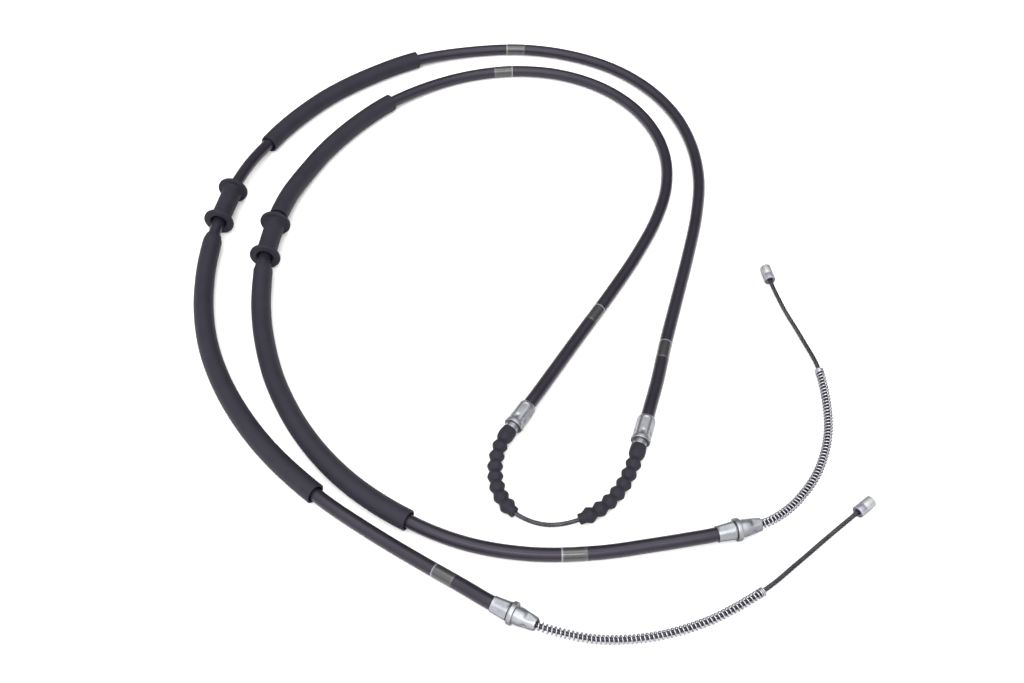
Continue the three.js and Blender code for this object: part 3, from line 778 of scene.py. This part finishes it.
def pressDents(bm, dents):
    # hollows pressed towards the axis; their angles are from straight up, in degrees
    for angle in dents["angles"]:
        for vert in bm.verts:
            radius = math.hypot(vert.co.x, vert.co.z)
            turn = math.atan2(vert.co.x, vert.co.z) - math.radians(angle)
            away = math.atan2(math.sin(turn), math.cos(turn)) * radius
            near = bump(vert.co.y, dents["at"], dents["length"]) * bump(away, 0, dents["width"])
            press = dents["depth"] * near
            if radius > crimp["bore"] and press > crimp["leastPress"]:
                vert.co.x *= 1 - press / radius
                vert.co.z *= 1 - press / radius


def fillLine(line):
    # more points along the outside of a profile, so that dents and flats have faces
    filled = []
    for (y0, r0), (y1, r1) in zip(line, line[1:] + line[:1]):
        count = max(1, math.ceil(math.hypot(y1 - y0, r1 - r0) / crimp["spacing"]))
        if (r0 + r1) / 2 < crimp["bore"]:
            count = 1
        filled += [(y0 + (y1 - y0) * i / count, r0 + (r1 - r0) * i / count) for i in range(count)]
    return filled


def makeFrontFerrule(side):
    size = frontSize
    spigotEnd, length, rimEnd = lengths["spigot"], lengths["frontFerrule"], size["rimLength"]
    corners = [
        ((-spigotEnd, size["hole"]), 0), ((-spigotEnd, size["spigot"]), 0.3),
        ((-size["neckEnd"], size["spigot"]), 0), ((-size["neckEnd"], size["neck"]), 0.25),
        ((0, size["neck"]), 0), ((0, size["rim"]), 0.45), ((rimEnd, size["rim"]), 0.5),
        ((rimEnd + size["rimSlope"], size["corner"]), 0.3), ((size["bodyEnd"], size["corner"]), 1),
        ((length, size["shoulder"]), 0.5), ((length, size["socket"]), 0),
        ((size["socketStart"], size["socket"]), 0), ((size["socketStart"], size["hole"]), 0),
    ]
    bm = spinProfile(fillLine(roundedLine(corners)), size["steps"])
    flatsFrom, flatsTo = rimEnd + size["flatsAfter"], size["bodyEnd"] - size["flatsBefore"]
    pressHexagon(bm, flatsFrom, flatsTo, lambda _: size["flat"], size["ease"])
    pressDents(bm, size["dents"])
    layOnRoute(bm, side, side.mouth)
    piece = finishMesh(bm, f"{side.name}FrontFerrule", finishes["zinc"], sharpAngle=30)
    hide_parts(f"{side.name}_front_ferrule")
    return piece


# Front boot: a bellows between the rope and the front ferrule
bootSize = {
    "hole": 1.95, "collar": 3.6, "collarLength": 3, "edge": 0.3, "root": 3.4, "crest": 5.2,
    "wall": 1.1, "folds": 7, "foldRings": 12, "foldRounding": 0.14, "lastFold": 0.2,
    "rootStep": 0.2, "bulbLength": 10.4, "bulb": 5.38, "bulbRings": 16, "fullness": 0.75,
    "mouth": 4.98, "mouthBore": 4.1, "mouthSwell": 0.05, "mouthEdge": 0.25, "mouthDepth": 6.6,
    "neckEnd": 3.6, "steps": 48,
}


def foldShare(t):
    # straight flanks that meet in a small rounded crest, for t from 0 to 1
    rounding = bootSize["foldRounding"]
    reach = math.hypot(2 * t - 1, rounding) - rounding
    return 1 - reach / (math.hypot(1, rounding) - rounding)


def bulbRadius(t):
    # an egg: it swells from the last fold and narrows again to its mouth
    size = bootSize
    if t < 0.5:
        swell = math.sin(math.pi * t) ** size["fullness"]
        return size["root"] + (size["bulb"] - size["root"]) * swell
    return size["bulb"] - (size["bulb"] - size["mouth"]) * (2 * t - 1) ** 2


def makeBoot(side):
    size = bootSize
    length = side.mouth - size["neckEnd"] - side.boot
    bulbAt = length - size["bulbLength"]
    pitch = (length - size["collarLength"] - size["bulbLength"]) / size["folds"]
    root, collar, edge = size["root"], size["collar"], size["edge"]
    inside = root - size["wall"]
    outer = [(0, collar - edge), (edge, collar), (size["collarLength"], collar)]
    bore = [(0, size["hole"]), (size["collarLength"], size["hole"])]
    for i in range(size["folds"]):
        at = size["collarLength"] + i * pitch
        crest = size["crest"] + (size["lastFold"] if i == 0 else 0)
        for k in range(1, size["foldRings"] + 1):
            t = k / size["foldRings"]
            outer.append((at + pitch * t, root + (crest - root) * foldShare(t)))
        bore += [(at + size["rootStep"], inside), (at + pitch / 2, size["crest"] - size["wall"])]
    for k in range(1, size["bulbRings"]):
        t = k / size["bulbRings"]
        outer.append((bulbAt + size["bulbLength"] * t, bulbRadius(t)))
    mouth, lip = size["mouth"], size["mouthEdge"]
    outer += [(length - lip, mouth + size["mouthSwell"]), (length, mouth - lip)]
    bore += [(bulbAt, inside), (length - size["mouthDepth"], size["mouthBore"])]
    bore += [(length, size["mouthBore"])]
    bm = layOnRoute(spinProfile(outer + bore[::-1], size["steps"]), side, side.boot)
    piece = finishMesh(bm, f"{side.name}Boot", finishes["rubber"])
    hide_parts(f"{side.name}_front_boot")
    return piece


# Rear ferrule: crimped shank, collar and tapered nose
rearSize = {
    "flat": 4.93, "flare": 0.95, "shank": 11.8, "groove": 5.3, "grooveWidth": 0.5,
    # the shank slopes to its groove from here on, where it is this share of its flat wide
    "slope": 0.9, "slopeShare": 1.06,
    "collar": 7.43, "collarEnd": 14.9, "nose": 5.68, "straight": 3.5, "tip": 4.2, "seat": 3.66,
    "seatDepth": 5, "socket": 3.95, "socketDepth": 19, "hole": 1.95, "steps": 72,
    # how far from the shank's two ends its flats start and stop
    "flatsAfter": 0.8, "flatsBefore": 1.5, "ease": 0.8,
    "noseFlat": {"start": 20.5, "end": 28.7, "level": 4.2, "fadeIn": 2.5, "fadeOut": 0.6},
    "dents": {"at": 22.5, "angles": (-82, 82), "depth": 0.85, "length": 1.4, "width": 1.5},
}


def flattenNose(bm, flat):
    # a flat pressed on top of the nose, which fades in and out along it
    for vert in bm.verts:
        y, height = vert.co.y, vert.co.z
        share = smoothStep(flat["start"], flat["start"] + flat["fadeIn"], y)
        share *= 1 - smoothStep(flat["end"], flat["end"] + flat["fadeOut"], y)
        if share > 0 and height > flat["level"]:
            vert.co.z -= (height - flat["level"]) * share


def makeRearFerrule(side):
    size = rearSize
    end, shank, collarEnd = lengths["rearFerrule"], size["shank"], size["collarEnd"]
    seatEnd = end - size["seatDepth"]

    def flatAt(y):
        return size["flat"] + size["flare"] * y / shank

    corners = [
        ((0, flatAt(0) * crimp["corner"]), 0.4),
        ((shank - size["slope"], flatAt(shank) * size["slopeShare"]), 0.3),
        ((shank - size["grooveWidth"], size["groove"]), 0), ((shank, size["groove"]), 0),
        ((shank, size["collar"]), 0.7), ((collarEnd, size["collar"]), 0.7),
        ((collarEnd, size["nose"]), 0.3), ((collarEnd + size["straight"], size["nose"]), 1),
        ((end, size["tip"]), 0.4), ((end, size["seat"]), 0.2), ((seatEnd, size["seat"]), 0),
        ((seatEnd, size["hole"]), 0), ((size["socketDepth"], size["hole"]), 0),
        ((size["socketDepth"], size["socket"]), 0), ((0, size["socket"]), 0),
    ]
    bm = spinProfile(fillLine(roundedLine(corners)), size["steps"])
    pressHexagon(bm, size["flatsAfter"], shank - size["flatsBefore"], flatAt, size["ease"])
    flattenNose(bm, size["noseFlat"])
    pressDents(bm, size["dents"])
    layOnRoute(bm, side, side.shank)
    piece = finishMesh(bm, f"{side.name}RearFerrule", finishes["zinc"], sharpAngle=30)
    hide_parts(f"{side.name}_rear_ferrule")
    return piece


# Return spring: round wire, closed coils at the nipple end
springSize = {
    "mean": 2.65, "wire": 0.45, "pitch": 2.6, "closedCoils": 3, "endGap": 0.2, "fit": 0.3,
    "perTurn": 24, "steps": 8, "turnLength": 16.6,
}


def makeSpring(side):
    size = springSize
    start = side.nose - rearSize["seatDepth"] + size["fit"] + size["wire"]
    closedPitch = size["wire"] * 2 + size["endGap"]
    openEnd = side.springEnd - size["closedCoils"] * closedPitch
    openTurns = round((openEnd - start) / size["pitch"])
    path = []
    total = (openTurns + size["closedCoils"]) * size["perTurn"]
    for i in range(total + 1):
        turns = i / size["perTurn"]
        if turns <= openTurns:
            distance = start + (openEnd - start) * turns / openTurns
        else:
            distance = openEnd + (turns - openTurns) * closedPitch
        centre, across, above = side.frameAt(distance)
        outwards = across * math.cos(2 * math.pi * turns) + above * math.sin(2 * math.pi * turns)
        path.append((centre + outwards * size["mean"], outwards, turns * size["turnLength"]))
    rings = []
    for i, (centre, outwards, distance) in enumerate(path):
        along = path[min(i + 1, total)][0] - path[max(i - 1, 0)][0]
        above = along.normalized().cross(outwards).normalized()
        rings.append((centre, outwards, above, size["wire"], distance))
    bm = wrapTube(rings, size["steps"])
    piece = finishMesh(bm, f"{side.name}Spring", finishes["spring"], sharpAngle=60)
    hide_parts(f"{side.name}_return_spring")
    return piece


# End nipple: a plain swaged cylinder
nippleSize = {
    "radius": 4, "hole": 1.95, "depth": 11, "steps": 56,
    # a fine line round it
    "line": 5, "lineWidth": 0.15, "lineDepth": 0.07,
    # the shallow punch mark in its end, and how near to the axis its floor comes
    "punch": 1.5, "punchFloor": 1.1, "punchDepth": 0.5, "punchCentre": 0.55, "axisGap": 0.02,
}


def makeNipple(side):
    size = nippleSize
    radius, length, line = size["radius"], lengths["nipple"], size["line"]
    corners = [
        ((0, size["hole"]), 0.25), ((0, radius), 0.45), ((line - size["lineWidth"], radius), 0),
        ((line, radius - size["lineDepth"]), 0), ((line + size["lineWidth"], radius), 0),
        ((length, radius), 0.5), ((length, size["punch"]), 0),
        ((length - size["punchDepth"], size["punchFloor"]), 0),
        ((length - size["punchCentre"], size["axisGap"]), 0),
        ((size["depth"], size["axisGap"]), 0), ((size["depth"], size["hole"]), 0),
    ]
    bm = layOnRoute(spinProfile(roundedLine(corners), size["steps"]), side, side.nipple)
    piece = finishMesh(bm, f"{side.name}Nipple", finishes["nipple"], sharpAngle=30)
    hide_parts(f"{side.name}_end_nipple")
    return piece


# Inner rope: laid strands where it shows, coarse and untwisted where the casings hide it
ropeSize = {
    "radius": 1.5, "strands": 6, "hollow": 0.34, "lay": 16, "steps": 48, "spacing": 1.2,
    "hidden": 14, "nippleDepth": 10.7,
    # how far the laid strands go on inside a boot and inside a rear ferrule
    "intoBoot": 6, "intoNose": 8,
}


def ropeDistances(side):
    # (distance, laid or not) from the loop's middle to the rope's end
    size = ropeSize
    hiddenFrom, hiddenTo = side.boot + size["intoBoot"], side.nose - size["intoNose"]
    end = side.nipple + size["nippleDepth"]
    marks = []
    for start, stop, laid in (
        (0, hiddenFrom, True), (hiddenFrom, hiddenTo, False), (hiddenTo, end, True)
    ):
        spacing = size["spacing"] if laid else size["hidden"]
        count = math.ceil((stop - start) / spacing)
        marks += [(start + (stop - start) * i / count, laid) for i in range(count)]
    marks.append((end, True))
    return marks


def strandRadius(angle, _):
    lobe = abs(math.cos(angle * ropeSize["strands"] / 2))
    return ropeSize["radius"] - ropeSize["hollow"] * (1 - math.sqrt(lobe))


def makeRope():
    size = ropeSize
    walk = []
    for name, sign in (("right", -1), ("left", 1)):
        side = sides[name]
        part = [(sign * d, laid, *side.frameAt(d)) for d, laid in ropeDistances(side)]
        walk += [(d, laid, c, -a, b) for d, laid, c, a, b in reversed(part)] if sign < 0 else part[1:]
    twist, rings, last = 0.0, [], walk[0][0]
    for distance, laid, centre, across, above in walk:
        if laid and distance - last < 2 * size["spacing"]:
            twist += (distance - last) / size["lay"] * 2 * math.pi
        last = distance
        turned = across * math.cos(twist) + above * math.sin(twist)
        raised = above * math.cos(twist) - across * math.sin(twist)
        rings.append((centre, turned, raised, strandRadius, distance))
    bm = wrapTube(rings, size["steps"])
    piece = finishMesh(bm, "innerRope", finishes["rope"], sharpAngle=70)
    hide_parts("inner_rope")
    return piece, [tuple(ring[0] * mm) for ring in rings]


# Blank clear wraps on the casings
wrapSize = {
    "radius": 4.6, "rim": 4.52, "edge": 0.3, "spacing": 2, "steps": 32,
    # from, to, and whether the pale edge is at the far end
    "right": [(168, 184, 1), (596, 612, 1), (1314, 1329, 0)],
    "left": [(200, 215, 1), (572, 588, 0), (1252, 1268, 0)],
}


def makeWrap(side, number, start, end, paleEnd):
    size = wrapSize
    first, last = start + size["edge"], end - size["edge"]
    rings = [
        (*side.frameAt(start), size["rim"], start),
        *ringsBetween(side, first, last, size["spacing"], size["radius"]),
        (*side.frameAt(end), size["rim"], end),
    ]
    # the finish runs from the pale edge on
    pale = end if paleEnd else start
    rings = [(*ring[:4], abs(ring[4] - pale)) for ring in rings]
    bm = wrapTube(rings, size["steps"])
    return finishMesh(bm, f"{side.name}Wrap{number}", finishes["wrap"])


# The pieces of each side
fittings = {}
for name, side in sides.items():
    makeSheath(side)
    fittings[name] = {
        "frontFerrule": makeFrontFerrule(side),
        "boot": makeBoot(side),
        "frontSleeve": makeSleeve(
            side, "FrontSleeve", "front_sleeve", side.frontSleeve, lengths["frontSleeve"], 0
        ),
        "bush": makeBush(side),
        "rearSleeve": makeSleeve(
            side, "RearSleeve", "rear_sleeve", side.rearSleeve, lengths["rearSleeve"],
            sleeveSize["shoulder"],
        ),
        "rearFerrule": makeRearFerrule(side),
        "spring": makeSpring(side),
        "nipple": makeNipple(side),
    }
    for number, stretch in enumerate(wrapSize[name], 1):
        fittings[name][f"wrap{number}"] = makeWrap(side, number, *stretch)
    print(name, "side made")

rope, ropePath = makeRope()
print("rope made")


# Carried-over solids that the casing hides
for name in sides:
    for part in ("armour", "liner"):
        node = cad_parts[f"{name}_casing_{part}"]
        node.data.materials.clear()
        node.data.materials.append(finishes[part])


# Floor and studio light
studio = {
    "floor": 6.0, "floorColor": 0.93, "floorRough": 0.9, "floorGloss": 0.1,
    # the sky's brightness by how near a direction is to the bright side, in front and above
    "bright": (-0.15, -0.45, 0.88), "strength": 2.5,
    "sky": [(0.0, 0.1), (0.3, 0.2), (0.55, 0.6), (0.8, 0.95)],
    "lamps": [
        # name, place, target, size, power, color
        ("overhead", (0, 0.1, 2.2), (0, 0, 0), (2.0, 1.2), 14, (1, 1, 1)),
        ("front", (-0.2, -1.3, 1.9), (0, 0, 0), (1.4, 0.5), 18, (1, 0.99, 0.97)),
    ],
}


def addFloor():
    bm = bmesh.new()
    bmesh.ops.create_grid(bm, x_segments=1, y_segments=1, size=studio["floor"])
    mesh = bpy.data.meshes.new("floor")
    bm.to_mesh(mesh)
    bm.free()
    material = bpy.data.materials.new("paleFloor")
    material.use_nodes = True
    shader = material.node_tree.nodes["Principled BSDF"]
    tone = studio["floorColor"]
    shader.inputs["Base Color"].default_value = (tone, tone, tone, 1)
    shader.inputs["Roughness"].default_value = studio["floorRough"]
    shader.inputs["Specular IOR Level"].default_value = studio["floorGloss"]
    mesh.materials.append(material)
    floor = bpy.data.objects.new("floor", mesh)
    bpy.context.collection.objects.link(floor)


def addLamps():
    for name, place, target, size, power, color in studio["lamps"]:
        data = bpy.data.lights.new(name, "AREA")
        data.shape = "RECTANGLE"
        data.size, data.size_y = size
        data.energy = power
        data.color = color
        lamp = bpy.data.objects.new(name, data)
        lamp.location = place
        way = Vector(target) - Vector(place)
        lamp.rotation_euler = way.to_track_quat("-Z", "Y").to_euler()
        bpy.context.collection.objects.link(lamp)


def addWorld():
    world = bpy.data.worlds.new("studio")
    world.use_nodes = True
    tree = world.node_tree
    place = addNode(tree, "ShaderNodeTexCoord")
    near = addNode(tree, "ShaderNodeVectorMath", operation="DOT_PRODUCT")
    near.inputs[1].default_value = Vector(studio["bright"]).normalized()
    link(tree, place.outputs["Generated"], near.inputs[0])
    background = tree.nodes["Background"]
    link(tree, ramp(tree, near.outputs["Value"], studio["sky"]), background.inputs["Color"])
    background.inputs["Strength"].default_value = studio["strength"]
    bpy.context.scene.world = world
    bpy.context.scene.view_settings.view_transform = "Standard"


addFloor()
addLamps()
addWorld()
print("floor and lights set")
